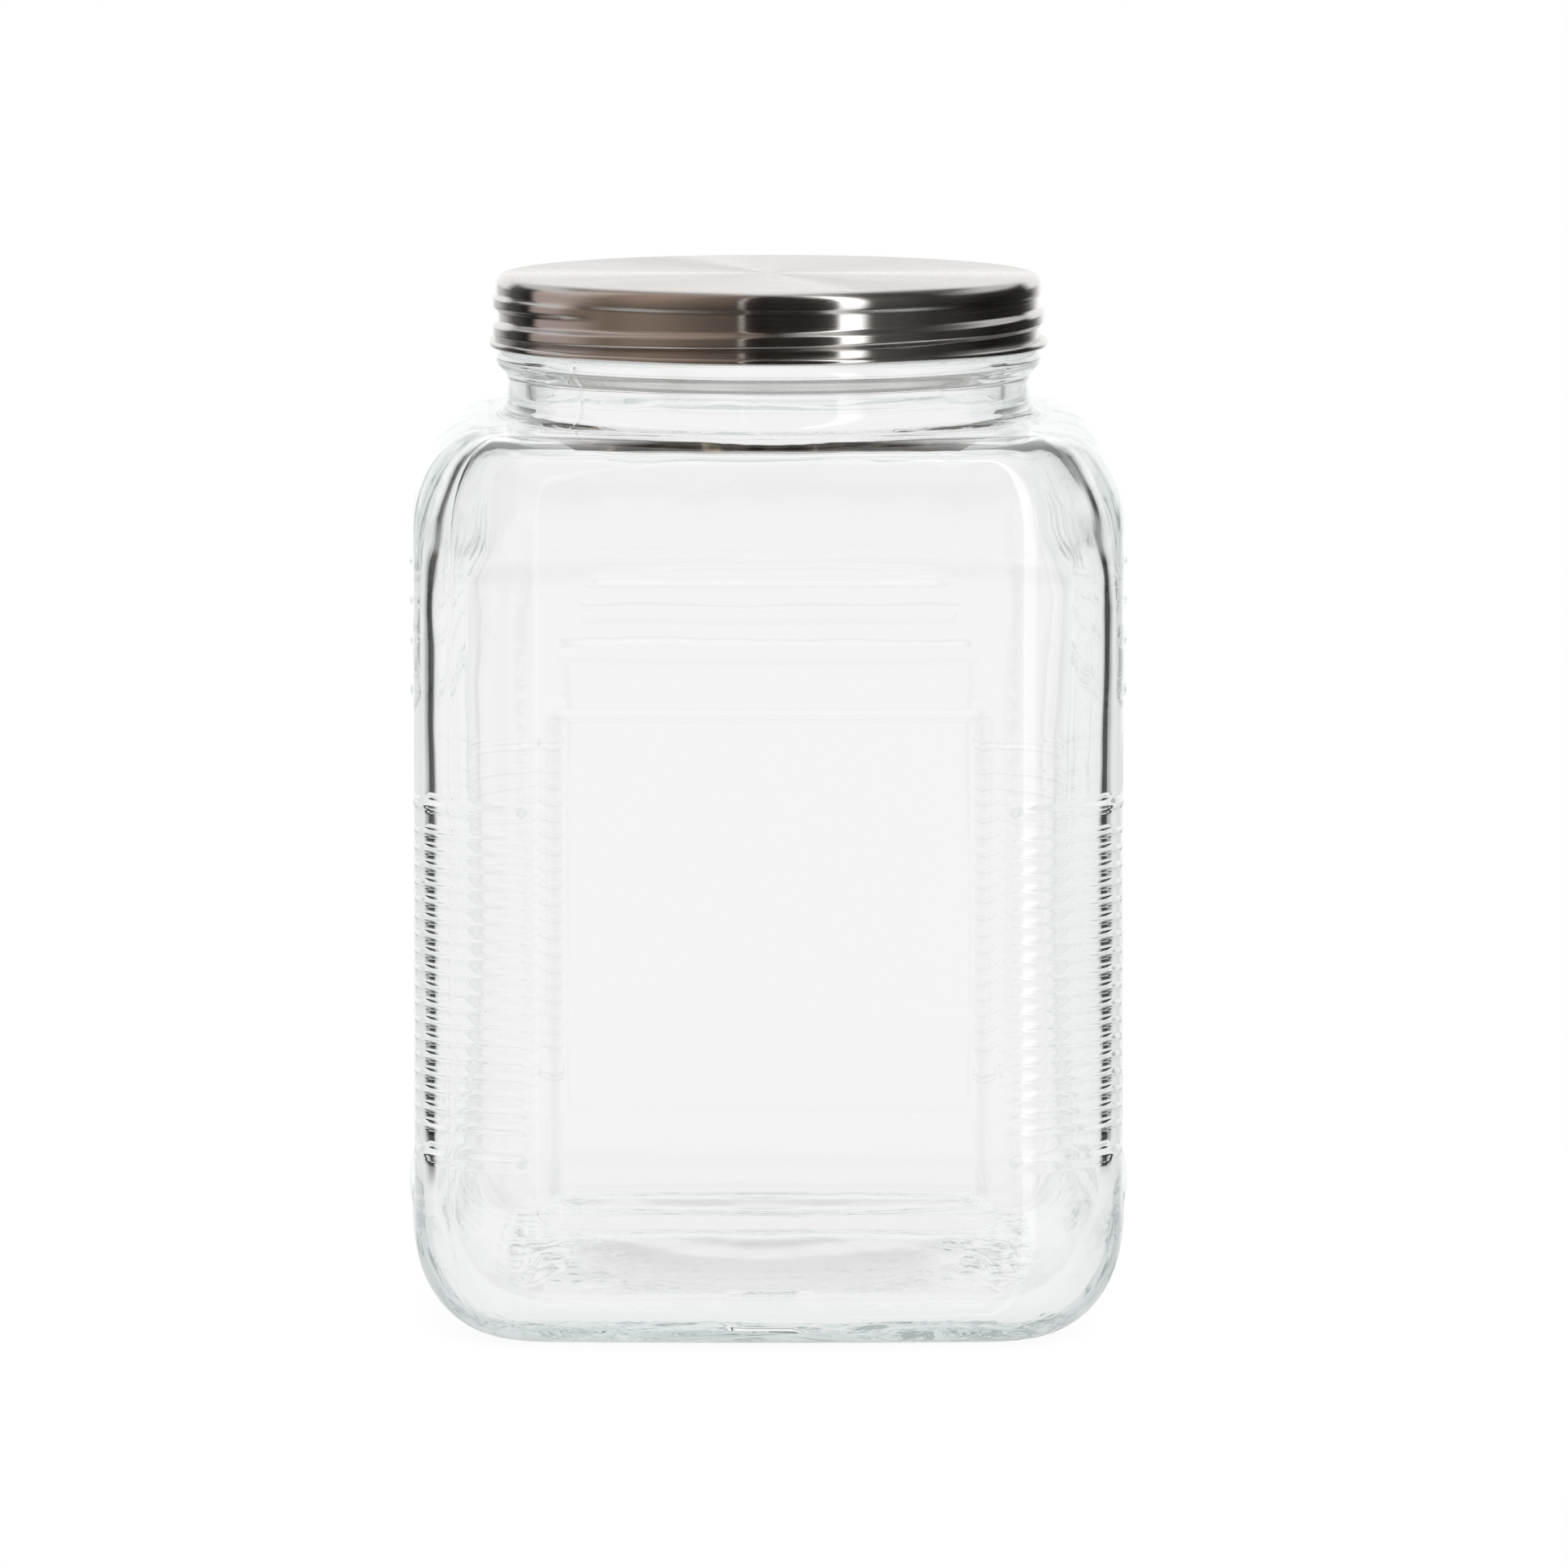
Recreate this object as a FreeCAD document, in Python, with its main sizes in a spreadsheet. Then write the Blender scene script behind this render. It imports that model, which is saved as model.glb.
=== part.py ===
import FreeCAD, Part
import Sketcher
import math
import os
import re

# A square glass canister with softly crowned faces, ribbed corners and a sunken panel in each
# face, and its screw lid of brushed sheet steel. The origin is the middle of the base, on the
# surface that the jar stands on, and +Z is up. Lengths are in millimetres, angles in degrees.

doc = FreeCAD.newDocument("cracker_jar")
sheet = doc.addObject("Spreadsheet::Sheet", "Dimensions")

dimensions = [
    # glass body
    ("body_width", 127.0, "across two opposite faces, at their middles"),
    ("body_height", 159.8, "base to the flat of the shoulder"),
    ("crown_radius", 640.0, "plan radius of each slightly bulging face"),
    ("corner_radius", 24.0, "plan radius of the four upright corners"),
    ("shoulder_radius", 12.5, "rounding from the faces into the shoulder"),
    ("heel_radius", 18.0, "rounding from the faces into the base"),
    ("wall", 3.8, "glass in the faces and corners"),
    ("floor_thickness", 6.5, "glass under the cavity, at the foot of the walls"),
    ("shoulder_thickness", 4.2, "glass over the cavity"),
    ("inner_heel_radius", 13.0, "rounding of the cavity at its floor"),
    ("inner_shoulder_radius", 14.0, "rounding of the cavity under the shoulder"),
    ("pushup_radius", 38.0, "hollow in the underside, inside the ring the jar stands on"),
    ("pushup_rise", 3.0, "how far that hollow rises at its middle"),
    ("dome_radius", 46.0, "raised middle of the inner floor"),
    ("dome_rise", 2.6, "how far the inner floor rises at its middle"),
    # neck
    ("neck_radius", 46.5, "outside of the neck"),
    ("neck_root_radius", 3.5, "hollow rounding between shoulder and neck"),
    ("neck_length", 6.9, "flat of the shoulder to the underside of the transfer bead"),
    ("neck_wall", 4.0, "glass in the neck"),
    ("bore_edge_radius", 2.5, "rounding where the cavity meets the bore"),
    ("bead_proud", 2.0, "how far the transfer bead stands out of the neck, and its rounding"),
    ("bead_height", 5.1, "height of the transfer bead"),
    ("finish_height", 12.65, "top of the transfer bead to the rim"),
    ("rim_rounding", 1.2, "rounding of the rim's outer edge"),
    # glass thread
    ("thread_pitch", 5.08, "rise of the thread in one turn"),
    ("thread_turns", 1.12, "length of the glass thread in turns"),
    ("thread_height", 1.85, "how far it stands out of the neck"),
    ("thread_foot", 2.9, "height of its section at the neck"),
    ("thread_crest", 1.1, "height of its section at the crest"),
    ("thread_start", 165.0, "direction in which it starts, from +X towards +Y"),
    ("thread_drop", 9.76, "rim down to the middle of its start"),
    # sunken panel in each face
    ("panel_bottom", 26.6, "height of the panel's lower edge"),
    ("panel_drop", 46.8, "flat of the shoulder down to the panel's upper edge"),
    ("panel_margin", 0.35, "corner's axis in to the panel's sides"),
    ("panel_depth", 0.6, "how deep it lies in the face"),
    ("panel_end_slope", 1.4, "run of its sloping upper and lower edges"),
    ("panel_side_slope", 2.4, "run of its sloping side edges"),
    ("panel_side_drop", 0.5, "height of those side slopes"),
    # beads across each face
    ("rib_section", 1.3, "section radius of the three ribs over the panel"),
    ("rib_proud", 0.35, "how far they stand out of the face"),
    ("rib_gap", 9.7, "panel's upper edge to the lowest of the three"),
    ("rib_pitch", 6.75, "from rib to rib"),
    ("rib_margin", 3.98, "corner's axis in to the ends of the lowest rib"),
    ("rib_step", 2.96, "how much further in each next rib ends"),
    ("head_section", 3.2, "section radius of the bead over the panel"),
    ("head_proud", 0.4, "how far it stands out of the face"),
    ("head_gap", 1.2, "panel's upper edge to the middle of that bead"),
    ("foot_section", 9.5, "section radius of the bead under the panel"),
    ("foot_proud", 0.5, "how far it stands out of the face"),
    ("foot_gap", 1.6, "panel's lower edge to the middle of that bead"),
    ("edge_bead_margin", 2.58, "corner's axis in to the ends of both of them"),
    # ribs round each corner
    ("grip_section", 0.65, "section radius of the fine corner ribs"),
    ("grip_proud", 0.32, "how far they stand out of the corner"),
    ("grip_first", 38.6, "height of the lowest fine rib"),
    ("grip_pitch", 3.04, "from fine rib to fine rib"),
    ("grip_count", 18, "fine ribs on each corner"),
    ("grip_sweep", 65.0, "angle that a rib runs round its corner"),
    ("stop_section", 1.5, "section radius of the heavier bead over and under them"),
    ("stop_proud", 0.6, "how far that bead stands out of the corner"),
    ("stop_gap", 4.9, "outer fine rib to the heavier bead beyond it"),
    # lid
    ("lid_sheet", 0.45, "thickness of the sheet steel"),
    ("lid_edge_radius", 2.0, "rounding of the upper edge"),
    ("lid_band", 3.3, "height of the plain band, with that rounding"),
    ("lid_fit", 1.25, "free space between the neck and the threaded band"),
    ("lid_waist", 0.4, "how far the threaded band lies inside the plain one"),
    ("lid_crest_gap", 0.35, "free space outside the crest of the glass thread"),
    ("lid_flank_gap", 0.3, "free space over and under the glass thread"),
    ("lid_lead", 12.0, "angle by which the rolled thread starts before the glass one"),
    ("lid_turns", 1.22, "length of the rolled thread in turns"),
    ("lid_bead_gap", 0.25, "transfer bead up to the lower edge of the lid"),
    ("hem_section", 0.65, "section radius of the rolled hem"),
    ("hem_reach", 0.9, "threaded band out to the middle of the hem"),
]

sheet.set("A1", "dimension")
sheet.set("B1", "value")
sheet.set("C1", "meaning")
for row, (alias, number, meaning) in enumerate(dimensions, start=2):
    sheet.set(f"A{row}", alias)
    sheet.set(f"B{row}", str(number))
    sheet.set(f"C{row}", meaning)
    sheet.setAlias(f"B{row}", alias)
doc.recompute()

# Places that follow from the dimensions. Each is a formula over the cells of the sheet.
places = {
    "half_width": "(body_width / 2)",
    "crown_axis": "(crown_radius - half_width)",
    "corner_axis": "(((2 * (crown_radius - corner_radius)^2 - crown_axis^2)^0.5 - crown_axis) / 2)",
    "panel_top": "(body_height - panel_drop)",
    "rib_first": "(panel_top + rib_gap)",
    "bore_radius": "(neck_radius - neck_wall)",
    "bead_bottom": "(body_height + neck_length)",
    "bead_top": "(bead_bottom + bead_height)",
    "rim": "(bead_top + finish_height)",
    "thread_start_height": "(rim - thread_drop)",
    "thread_radius": "(neck_radius + thread_height)",
    "band_inside": "(neck_radius + lid_fit)",
    "plain_inside": "(band_inside + lid_waist)",
    "hollow_radius": "(thread_radius + lid_crest_gap)",
    "lid_top": "(rim + lid_sheet)",
    "lid_bottom": "(bead_top + lid_bead_gap)",
    "hollow_foot": "(thread_crest + (thread_foot - thread_crest) * (1 - lid_fit / thread_height)"
                   " + 2 * lid_flank_gap)",
    "hollow_crest": "(thread_crest + 2 * lid_flank_gap)",
    "grip_last": "(grip_first + (grip_count - 1) * grip_pitch)",
}
cells = {alias for alias, number, meaning in dimensions}


def formula(text):
    """The text with every place written out and every cell named with its sheet."""
    while any(word in places for word in re.findall(r"[a-z_]+", text)):
        text = re.sub(r"[a-z_]+", lambda found: places.get(found[0], found[0]), text)
    return re.sub(r"[a-z_]+", lambda found: "Dimensions." + found[0] if found[0] in cells
                  else found[0], text)


def value(text):
    return float(sheet.evalExpression(formula(text)))


def crown_sweep(margin):
    """The angle of a face's crown that ends the margin short of both corners' axes."""
    return f"(2 * asin((corner_axis - ({margin})) / crown_radius) / 1 deg)"


def plane(body, role):
    return next(item for item in body.Origin.OriginFeatures if item.Role == role)


def new_body(name):
    body = doc.addObject("PartDesign::Body", name)
    body.Label = name
    return body


def new_sketch(body, name, role="XZ_Plane", turn="0", lift="0"):
    """A sketch on an origin plane, turned about +Z and lifted along its own normal."""
    sketch = body.newObject("Sketcher::SketchObject", name)
    sketch.AttachmentSupport = [(plane(body, role), "")]
    sketch.MapMode = "FlatFace"
    sketch.AttachmentOffset = FreeCAD.Placement(
        FreeCAD.Vector(0, 0, value(lift)),
        FreeCAD.Rotation(FreeCAD.Vector(0, 1, 0), value(turn)))
    if lift != "0":
        sketch.setExpression("AttachmentOffset.Base.z", formula(lift))
    if turn != "0":
        sketch.setExpression("AttachmentOffset.Rotation.Angle", formula(turn))
    return sketch


def bind(sketch, kind, *where, size):
    """Adds a dimension to the sketch and ties it to the formula."""
    number = sketch.addConstraint(Sketcher.Constraint(kind, *where, value(size)))
    sketch.setExpression(f"Constraints[{number}]", formula(size))


def place_point(sketch, edge, end, across, up):
    """Holds one end of an edge at (across, up) from the sketch's origin."""
    if across == "0":
        sketch.addConstraint(Sketcher.Constraint("PointOnObject", edge, end, -2))
    else:
        bind(sketch, "DistanceX", -1, 1, edge, end, size=across)
    if up == "0":
        sketch.addConstraint(Sketcher.Constraint("PointOnObject", edge, end, -1))
    else:
        bind(sketch, "DistanceY", -1, 1, edge, end, size=up)


def add_outline(sketch, corners):
    """A closed outline through the corners (across, up, radius of the arc that ends there).

    A positive radius turns left on its way, a negative one turns right, and "0" is straight.
    """
    points = [FreeCAD.Vector(value(across), value(up), 0) for across, up, radius in corners]
    first = len(sketch.Geometry)
    for index, (across, up, radius) in enumerate(corners):
        start = points[index - 1]
        end = points[index]
        if radius == "0":
            edge = Part.LineSegment(start, end)
        else:
            bend = value(radius.lstrip("-"))
            chord = end - start
            left = FreeCAD.Vector(-chord.y, chord.x, 0).normalize()
            side = -1 if radius.startswith("-") else 1
            sagitta = bend - math.sqrt(bend ** 2 - (chord.Length / 2) ** 2)
            edge = Part.Arc(start, (start + end) / 2 - left * side * sagitta, end)
        sketch.addGeometry(edge, False)
    for index, (across, up, radius) in enumerate(corners):
        edge = first + index
        following = first + (index + 1) % len(corners)
        turned = radius.startswith("-")
        after = corners[(index + 1) % len(corners)][2].startswith("-")
        sketch.addConstraint(Sketcher.Constraint(
            "Coincident", edge, 1 if turned else 2, following, 2 if after else 1))
        place_point(sketch, edge, 1 if turned else 2, across, up)
        if radius != "0":
            bind(sketch, "Radius", edge, size=radius.lstrip("-"))


def add_circle(sketch, across, up, radius):
    centre = FreeCAD.Vector(value(across), value(up), 0)
    circle = Part.Circle(centre, FreeCAD.Vector(0, 0, 1), value(radius))
    edge = sketch.addGeometry(circle, False)
    place_point(sketch, edge, 3, across, up)
    bind(sketch, "Radius", edge, size=radius)


def add_upright_axis(sketch, behind="0", ahead="0"):
    """A construction line parallel to +Z, behind or ahead of the sketch's origin."""
    across = value(ahead) - value(behind)
    axis = sketch.addGeometry(Part.LineSegment(
        FreeCAD.Vector(across, 0, 0), FreeCAD.Vector(across, value("body_height"), 0)), True)
    sketch.addConstraint(Sketcher.Constraint("Vertical", axis))
    sketch.addConstraint(Sketcher.Constraint("PointOnObject", axis, 1, -1))
    bind(sketch, "DistanceY", axis, 1, axis, 2, size="body_height")
    if behind == "0":
        bind(sketch, "DistanceX", -1, 1, axis, 1, size=ahead)
    else:
        bind(sketch, "DistanceX", axis, 1, -1, 1, size=behind)


def turned(body, kind, name, sketch, axis="V_Axis", sweep=None):
    """A full turn of the sketch about the axis, or a sweep to both sides of its plane."""
    feature = body.newObject(f"PartDesign::{kind}", name)
    feature.Profile = sketch
    feature.ReferenceAxis = (sketch, [axis])
    feature.Angle = 360
    if sweep:
        feature.Midplane = True
        feature.setExpression("Angle", formula(sweep))
    feature.Refine = False
    return feature


def rounded_square(body, name, inset, lift="0"):
    """The plan of the body, drawn in by the inset: four crowned sides and four round corners."""
    sketch = new_sketch(body, name, "XY_Plane", lift=lift)
    side_radius = value(f"crown_radius - ({inset})")
    bend_radius = value(f"corner_radius - ({inset})")
    offset = value("crown_axis")
    corner = value("corner_axis")
    lean = math.atan2(corner, offset + corner)
    up = FreeCAD.Vector(0, 0, 1)
    quarter = math.pi / 2
    for side in range(4):
        middle = side * quarter
        outward = FreeCAD.Vector(math.cos(middle), math.sin(middle), 0)
        along = FreeCAD.Vector(-math.sin(middle), math.cos(middle), 0)
        crown = Part.Circle(outward * -offset, up, side_radius)
        sketch.addGeometry(Part.ArcOfCircle(crown, middle - lean, middle + lean), False)
        bend = Part.Circle((outward + along) * corner, up, bend_radius)
        sketch.addGeometry(Part.ArcOfCircle(bend, middle + lean, middle + quarter - lean), False)
    for side in range(4):
        crown = 2 * side
        bend = crown + 1
        sketch.addConstraint(Sketcher.Constraint("Tangent", crown, 2, bend, 1))
        sketch.addConstraint(Sketcher.Constraint("Tangent", bend, 2, (bend + 1) % 8, 1))
        bind(sketch, "Radius", crown, size=f"crown_radius - ({inset})")
        bind(sketch, "Radius", bend, size=f"corner_radius - ({inset})")
        axis = -1 if side % 2 == 0 else -2
        sketch.addConstraint(Sketcher.Constraint("PointOnObject", crown, 3, axis))
    bind(sketch, "DistanceX", 0, 3, -1, 1, size="crown_axis")
    bind(sketch, "DistanceY", 2, 3, -1, 1, size="crown_axis")
    bind(sketch, "DistanceX", -1, 1, 4, 3, size="crown_axis")
    bind(sketch, "DistanceY", -1, 1, 6, 3, size="crown_axis")
    return sketch


def pad(body, name, sketch, length):
    feature = body.newObject("PartDesign::Pad", name)
    feature.Profile = sketch
    feature.setExpression("Length", formula(length))
    feature.Refine = False
    return feature


def level_edges(feature, height):
    """Names of the edges of a feature that lie wholly at one height."""
    return [f"Edge{number}" for number, edge in enumerate(feature.Shape.Edges, start=1)
            if abs(edge.BoundBox.ZMin - height) < 1e-4 and abs(edge.BoundBox.ZMax - height) < 1e-4]


def rounding(body, name, base, edges, radius):
    feature = body.newObject("PartDesign::Fillet", name)
    feature.Base = (base, edges)
    feature.setExpression("Radius", formula(radius))
    feature.Refine = False
    doc.recompute()
    return feature


def round_four(body, name, originals):
    """The same features on all four sides of the jar."""
    feature = body.newObject("PartDesign::PolarPattern", name)
    feature.Originals = originals
    feature.Axis = (plane(body, "Z_Axis"), [""])
    feature.Angle = 360
    feature.Occurrences = 4
    feature.Refine = False
    body.Tip = feature
    return feature


def ball(body, name, across, along, up, radius):
    """A ball that rounds off the end of a rib."""
    feature = body.newObject("PartDesign::AdditiveSphere", name)
    feature.AttachmentSupport = [(plane(body, "XY_Plane"), "")]
    feature.MapMode = "FlatFace"
    for letter, place in zip("xyz", (across, along, up)):
        feature.setExpression(f"AttachmentOffset.Base.{letter}", formula(place))
    feature.setExpression("Radius", formula(radius))
    feature.Refine = False
    return feature


def face_rib(body, name, up, section, proud, sweep):
    """A bead across one face. It follows the crown and ends in balls."""
    sketch = new_sketch(body, name + "_section", "YZ_Plane")
    add_upright_axis(sketch, behind="crown_axis")
    add_circle(sketch, f"half_width + {proud} - {section}", up, section)
    rib = turned(body, "Revolution", name, sketch, "Axis0", sweep)
    reach = f"(crown_radius + {proud} - {section})"
    ends = [ball(body, f"{name}_end_{side}",
                 f"{sign}{reach} * sin(({sweep}) / 2)",
                 f"{reach} * cos(({sweep}) / 2) - crown_axis", up, section)
            for side, sign in (("left", "-"), ("right", ""))]
    return [rib] + ends


def corner_rib(body, name, up, section, proud):
    """A rib round one corner, ending in balls."""
    diagonal = "(corner_axis * 2^0.5)"
    sketch = new_sketch(body, name + "_section", "XZ_Plane", turn="45")
    add_upright_axis(sketch, ahead=diagonal)
    add_circle(sketch, f"{diagonal} + corner_radius + {proud} - {section}", up, section)
    rib = turned(body, "Revolution", name, sketch, "Axis0", "grip_sweep")
    reach = f"(corner_radius + {proud} - {section})"
    ends = [ball(body, f"{name}_end_{side}",
                 f"corner_axis + {reach} * cos(45 {sign} grip_sweep / 2)",
                 f"corner_axis + {reach} * sin(45 {sign} grip_sweep / 2)", up, section)
            for side, sign in (("low", "-"), ("high", "+"))]
    return [rib] + ends


def stacked(body, name, originals, length, count):
    """The same ribs up each of the four corners."""
    rows = body.newObject("PartDesign::LinearPattern", name + "_rows")
    rows.Direction = (plane(body, "Z_Axis"), [""])
    rows.setExpression("Length", formula(length))
    rows.setExpression("Occurrences", formula(count))
    turns = body.newObject("PartDesign::PolarPattern", name + "_turns")
    turns.Axis = (plane(body, "Z_Axis"), [""])
    turns.Angle = 360
    turns.Occurrences = 4
    feature = body.newObject("PartDesign::MultiTransform", name)
    feature.Originals = originals
    feature.Transformations = [rows, turns]
    feature.Refine = False
    body.Tip = feature
    return feature


def helix(body, kind, name, sketch, turns):
    feature = body.newObject(f"PartDesign::{kind}Helix", name)
    feature.Profile = sketch
    feature.ReferenceAxis = (sketch, ["V_Axis"])
    feature.Mode = "pitch-turns-angle"
    feature.setExpression("Pitch", formula("thread_pitch"))
    feature.setExpression("Turns", formula(turns))
    feature.Angle = 0
    feature.Refine = False
    return feature


def tooth(sketch, inside, outside, foot, crest, middle):
    """A thread's section: a trapezium from its foot at one radius to its crest at another."""
    add_outline(sketch, [
        (inside, f"{middle} - ({foot}) / 2", "0"),
        (outside, f"{middle} - ({crest}) / 2", "0"),
        (outside, f"{middle} + ({crest}) / 2", "0"),
        (inside, f"{middle} + ({foot}) / 2", "0"),
    ])


def crowned_block(body, name, inset, bottom, top, heel, shoulder):
    """The square body or its cavity: an upright block rounded at the foot and the shoulder."""
    plan = rounded_square(body, name + "_plan", inset, lift=bottom)
    block = pad(body, name + "_block", plan, f"{top} - ({bottom})")
    doc.recompute()
    shoulders = rounding(body, name + "_shoulder", block,
                         level_edges(block, value(top)), shoulder)
    return rounding(body, name + "_heel", shoulders,
                    level_edges(shoulders, value(bottom)), heel)


def add_neck(body):
    """The neck with its root, the transfer bead under the lid, and the finish up to the rim."""
    sketch = new_sketch(body, "Neck_section")
    add_outline(sketch, [
        ("0", "body_height - shoulder_thickness", "0"),
        ("neck_radius + neck_root_radius", "body_height - shoulder_thickness", "0"),
        ("neck_radius + neck_root_radius", "body_height", "0"),
        ("neck_radius", "body_height + neck_root_radius", "-neck_root_radius"),
        ("neck_radius", "bead_bottom", "0"),
        ("neck_radius + bead_proud", "bead_bottom + bead_proud", "bead_proud"),
        ("neck_radius + bead_proud", "bead_top - bead_proud", "0"),
        ("neck_radius", "bead_top", "bead_proud"),
        ("neck_radius", "rim - rim_rounding", "0"),
        ("neck_radius - rim_rounding", "rim", "rim_rounding"),
        ("0", "rim", "0"),
    ])
    return turned(body, "Revolution", "Neck", sketch)


def add_glass_thread(body):
    root = "(neck_radius - rim_rounding)"
    slant = "(thread_foot - thread_crest) / thread_height"
    sketch = new_sketch(body, "Thread_section", turn="thread_start")
    tooth(sketch, root, "thread_radius", f"thread_foot + rim_rounding * {slant}",
          "thread_crest", "thread_start_height")
    return helix(body, "Additive", "Thread", sketch, "thread_turns")


def add_panels(body):
    """A sunken panel in each face. Its floor follows the crown and all four edges slope."""
    sketch = new_sketch(body, "Panel_section", "YZ_Plane")
    add_upright_axis(sketch, behind="crown_axis")
    floor = "half_width - panel_depth"
    outside = "half_width + panel_depth"
    add_outline(sketch, [
        (floor, "panel_bottom + panel_end_slope", "0"),
        (outside, "panel_bottom - panel_end_slope", "0"),
        (outside, "panel_top + panel_end_slope", "0"),
        (floor, "panel_top - panel_end_slope", "0"),
    ])
    sweep = crown_sweep("panel_margin")
    panel = turned(body, "Groove", "Panel", sketch, "Axis0", sweep)
    panels = round_four(body, "Panels", [panel])
    doc.recompute()
    reach = value(f"(crown_radius - panel_depth) * sin({sweep} / 2)")
    length = value("panel_top - panel_bottom - 2 * panel_end_slope")
    sides = [f"Edge{number}" for number, edge in enumerate(panels.Shape.Edges, start=1)
             if abs(edge.Length - length) < 0.01 and edge.BoundBox.DiagonalLength - length < 0.01
             and min(abs(abs(edge.CenterOfMass.x) - reach),
                     abs(abs(edge.CenterOfMass.y) - reach)) < 0.01]
    slopes = body.newObject("PartDesign::Chamfer", "Panel_sides")
    slopes.Base = (panels, sides)
    slopes.ChamferType = "Two distances"
    slopes.setExpression("Size", formula("panel_side_drop"))
    slopes.setExpression("Size2", formula("panel_side_slope"))
    slopes.Refine = False
    doc.recompute()
    return slopes


def add_face_beads(body):
    """Three ribs over the panel, each shorter than the one below, and a bead at both its ends."""
    beads = []
    for row in range(3):
        beads += face_rib(body, f"Rib{row + 1}", f"rib_first + {row} * rib_pitch",
                          "rib_section", "rib_proud",
                          crown_sweep(f"rib_margin + {row} * rib_step"))
    beads += face_rib(body, "Head_bead", "panel_top + head_gap",
                      "head_section", "head_proud", crown_sweep("edge_bead_margin"))
    return round_four(body, "Face_beads", beads)


def add_foot_beads(body):
    """A broad low bead under each panel."""
    sketch = new_sketch(body, "Foot_bead_section", "YZ_Plane")
    add_upright_axis(sketch, behind="crown_axis")
    add_circle(sketch, "half_width + foot_proud - foot_section", "panel_bottom - foot_gap",
               "foot_section")
    bead = turned(body, "Revolution", "Foot_bead", sketch, "Axis0",
                  crown_sweep("edge_bead_margin"))
    return round_four(body, "Foot_beads", [bead])


def add_corner_ribs(body):
    """Fine grip ribs round each corner, between two heavier beads."""
    fine = corner_rib(body, "Grip_rib", "grip_first", "grip_section", "grip_proud")
    stacked(body, "Grip_ribs", fine, "grip_last - grip_first", "grip_count")
    heavy = corner_rib(body, "Stop_bead", "grip_first - stop_gap", "stop_section", "stop_proud")
    return stacked(body, "Stop_beads", heavy, "grip_last - grip_first + 2 * stop_gap", "2")


def cap(body, name, kind, bottom, radius, rise):
    """A low dome over the bottom height: cut out of the body, or left standing in a cavity."""
    sketch = new_sketch(body, name + "_section")
    bend = f"(({radius})^2 + ({rise})^2) / (2 * ({rise}))"
    add_outline(sketch, [
        ("0", f"{bottom} + {rise}", bend),
        ("0", bottom, "0"),
        (radius, bottom, "0"),
    ])
    return turned(body, kind, name, sketch)


def cavity_body():
    """The space inside the jar: the same plan drawn in by the wall, and the bore of the neck."""
    body = new_body("Cavity")
    block = crowned_block(body, "Cavity", "wall", "floor_thickness",
                          "body_height - shoulder_thickness",
                          "inner_heel_radius", "inner_shoulder_radius")
    sketch = new_sketch(body, "Bore_section")
    add_outline(sketch, [
        ("0", "body_height / 2", "0"),
        ("bore_radius", "body_height / 2", "0"),
        ("bore_radius", "rim + rim_rounding", "0"),
        ("0", "rim + rim_rounding", "0"),
    ])
    bore = turned(body, "Revolution", "Bore", sketch)
    doc.recompute()
    mouth = [name for name in level_edges(bore, value("body_height - shoulder_thickness"))
             if abs(bore.Shape.getElement(name).Length - 2 * math.pi * value("bore_radius")) < 1e-3]
    rounding(body, "Bore_edge", bore, mouth, "bore_edge_radius")
    cap(body, "Dome", "Groove", "floor_thickness", "dome_radius", "dome_rise")
    return body


def glass_body():
    body = new_body("Glass")
    crowned_block(body, "Body", "0", "0", "body_height", "heel_radius", "shoulder_radius")
    add_neck(body)
    add_glass_thread(body)
    cap(body, "Pushup", "Groove", "0", "pushup_radius", "pushup_rise")
    add_panels(body)
    add_foot_beads(body)
    add_face_beads(body)
    add_corner_ribs(body)
    return body


def lid_body():
    """Sheet steel drawn to a lid, its edge rounded, its skirt rolled to a thread and hemmed."""
    body = new_body("lid")
    sketch = new_sketch(body, "Sheet_section")
    add_outline(sketch, [
        ("0", "rim", "0"),
        ("plain_inside + lid_sheet - lid_edge_radius", "rim", "0"),
        ("plain_inside", "lid_top - lid_edge_radius", "-(lid_edge_radius - lid_sheet)"),
        ("plain_inside", "lid_top - lid_band", "0"),
        ("band_inside", "lid_top - lid_band - lid_waist", "0"),
        ("band_inside", "lid_bottom", "0"),
        ("band_inside + lid_sheet + hem_reach", "lid_bottom", "0"),
        ("band_inside + lid_sheet + hem_reach", "lid_bottom + lid_sheet", "0"),
        ("band_inside + lid_sheet", "lid_bottom + lid_sheet", "0"),
        ("band_inside + lid_sheet", "lid_top - lid_band - lid_waist", "0"),
        ("plain_inside + lid_sheet", "lid_top - lid_band", "0"),
        ("plain_inside + lid_sheet", "lid_top - lid_edge_radius", "0"),
        ("plain_inside + lid_sheet - lid_edge_radius", "lid_top", "lid_edge_radius"),
        ("0", "lid_top", "0"),
    ])
    turned(body, "Revolution", "Sheet", sketch)
    hem = new_sketch(body, "Hem_section")
    add_circle(hem, "band_inside + lid_sheet + hem_reach", "lid_bottom + hem_section",
               "hem_section")
    turned(body, "Revolution", "Hem", hem)
    start = "thread_start - lid_lead"
    middle = "(thread_start_height - thread_pitch * lid_lead / 360)"
    ridge = new_sketch(body, "Ridge_section", turn=start)
    tooth(ridge, "band_inside + lid_sheet / 2", "hollow_radius + lid_sheet",
          "hollow_foot + 2 * lid_sheet", "hollow_crest + 2 * lid_sheet", middle)
    helix(body, "Additive", "Ridge", ridge, "lid_turns")
    hollow = new_sketch(body, "Hollow_section", turn=start)
    tooth(hollow, "band_inside - lid_sheet / 2", "hollow_radius",
          "hollow_foot", "hollow_crest", middle)
    helix(body, "Subtractive", "Hollow", hollow, "lid_turns")
    return body


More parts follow.
